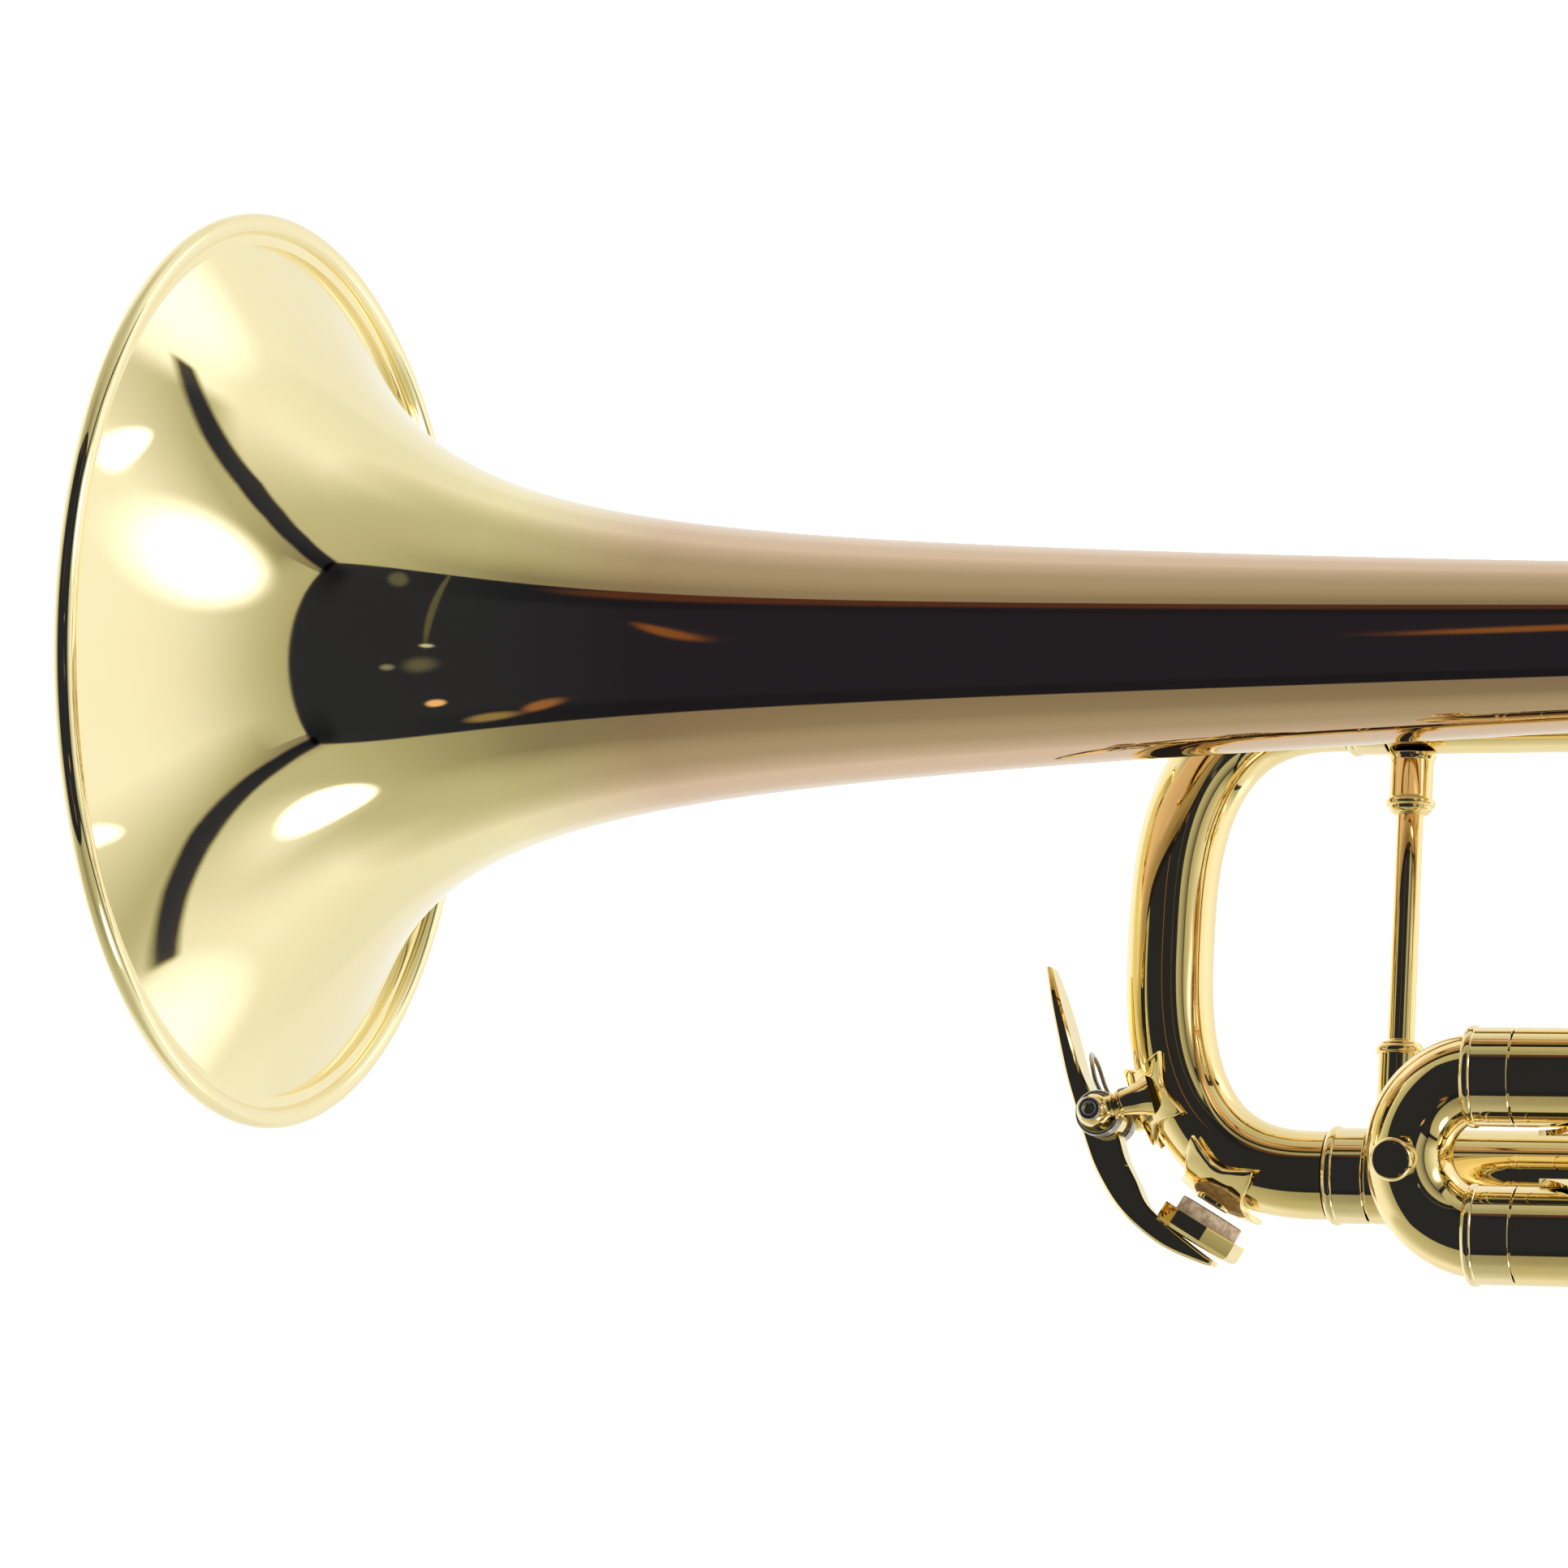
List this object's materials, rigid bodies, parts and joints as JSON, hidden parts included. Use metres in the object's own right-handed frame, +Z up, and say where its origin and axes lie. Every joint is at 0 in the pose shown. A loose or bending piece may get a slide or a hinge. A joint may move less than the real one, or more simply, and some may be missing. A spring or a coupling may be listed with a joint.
{
  "type": "trumpet",
  "caption": "Piston-valve trumpet in B flat: flared bell, tuning crook with water key, valve block with first, second and third slides, and a removable mouthpiece.",
  "frame": {"origin": "centre of the flat base of the middle valve's bottom cap", "axes": "+X towards the player, along the bell and the leadpipe; +Y to the player's right; +Z up along the valves"},
  "size_m": [0.5476, 0.1389, 0.1625],
  "materials": {
    "lacquered_brass": "mirror polish under clear gold lacquer",
    "pale_brass": "polished under clear lacquer, a little paler",
    "steel": "bright drawn wire",
    "monel": "lapped satin",
    "silver_plate": "polished silver plate",
    "cork": "natural cork"
  },
  "bodies": {
    "instrument": {"bell_flare": "lacquered_brass", "bell_stem": "lacquered_brass", "bell_bow": "lacquered_brass", "bell_bow_ferrule": "pale_brass", "bell_brace_front": "lacquered_brass", "bell_brace_rear": "lacquered_brass", "leadpipe": "lacquered_brass", "mouthpiece_receiver": "pale_brass", "tuning_outer_upper": "lacquered_brass", "tuning_outer_lower": "lacquered_brass", "tuning_brace": "lacquered_brass", "valve_casing_1": "lacquered_brass", "valve_casing_2": "lacquered_brass", "valve_casing_3": "lacquered_brass", "bottom_cap_1": "pale_brass", "bottom_cap_2": "pale_brass", "bottom_cap_3": "pale_brass", "top_cap_1": "pale_brass", "top_cap_2": "pale_brass", "top_cap_3": "pale_brass", "valve_guide_1": "monel", "valve_guide_2": "monel", "valve_guide_3": "monel", "valve_spring_1": "steel", "valve_spring_2": "steel", "valve_spring_3": "steel", "valve_passage_12": "lacquered_brass", "valve_passage_23": "lacquered_brass", "first_outer_upper": "lacquered_brass", "first_outer_lower": "lacquered_brass", "second_outer_upper": "lacquered_brass", "second_outer_lower": "lacquered_brass", "third_outer_upper": "lacquered_brass", "third_outer_lower": "lacquered_brass", "third_slide_brace": "lacquered_brass", "third_finger_ring": "lacquered_brass", "finger_hook": "lacquered_brass"},
    "valve_1": {"piston_1": "monel", "finger_button_1": "pale_brass"},
    "valve_2": {"piston_2": "monel", "finger_button_2": "pale_brass"},
    "valve_3": {"piston_3": "monel", "finger_button_3": "pale_brass"},
    "tuning_slide": {"tuning_crook": "lacquered_brass", "tuning_leg_upper": "pale_brass", "tuning_leg_lower": "pale_brass", "water_key_nipple": "lacquered_brass", "water_key_post_near": "lacquered_brass", "water_key_post_far": "lacquered_brass", "water_key_pivot": "steel", "water_key_spring": "steel"},
    "water_key": {"water_key_lever": "lacquered_brass", "water_key_cork": "cork"},
    "first_slide": {"first_slide": "lacquered_brass", "first_thumb_saddle": "lacquered_brass"},
    "second_slide": {"second_slide": "lacquered_brass"},
    "third_slide": {"third_slide_bow": "lacquered_brass", "third_leg_upper": "pale_brass", "third_leg_lower": "pale_brass"},
    "mouthpiece": {"mouthpiece": "silver_plate"}
  },
  "joints": [
    {"name": "valve_1_press", "type": "slide", "parent": "instrument", "child": "valve_1", "axis": [0, 0, -1], "range_m": [0, 0.0165], "stiffness_N_per_m": 90, "springref_m": -0.018, "deforming": ["valve_spring_1"]},
    {"name": "valve_2_press", "type": "slide", "parent": "instrument", "child": "valve_2", "axis": [0, 0, -1], "range_m": [0, 0.0165], "stiffness_N_per_m": 90, "springref_m": -0.018, "deforming": ["valve_spring_2"]},
    {"name": "valve_3_press", "type": "slide", "parent": "instrument", "child": "valve_3", "axis": [0, 0, -1], "range_m": [0, 0.0165], "stiffness_N_per_m": 90, "springref_m": -0.018, "deforming": ["valve_spring_3"]},
    {"name": "tuning_slide_pull", "type": "slide", "parent": "instrument", "child": "tuning_slide", "axis": [-1, 0, 0], "range_m": [0, 0.04]},
    {"name": "water_key_press", "type": "hinge", "parent": "tuning_slide", "child": "water_key", "pos_m": [-0.1732, 0.00549, 0.03917], "axis": [0, 0.9785, -0.2062], "range_deg": [0, 20], "stiffness_Nm_per_rad": 0.05, "springref_deg": -28.65},
    {"name": "first_slide_pull", "type": "slide", "parent": "instrument", "child": "first_slide", "axis": [1, 0, 0], "range_m": [0, 0.02]},
    {"name": "second_slide_pull", "type": "slide", "parent": "instrument", "child": "second_slide", "axis": [0, 1, 0], "range_m": [0, 0.014]},
    {"name": "third_slide_pull", "type": "slide", "parent": "instrument", "child": "third_slide", "axis": [-1, 0, 0], "range_m": [0, 0.03]},
    {"name": "mouthpiece_pull", "type": "slide", "parent": "instrument", "child": "mouthpiece", "axis": [1, 0, 0], "range_m": [0, 0.025]}
  ]
}
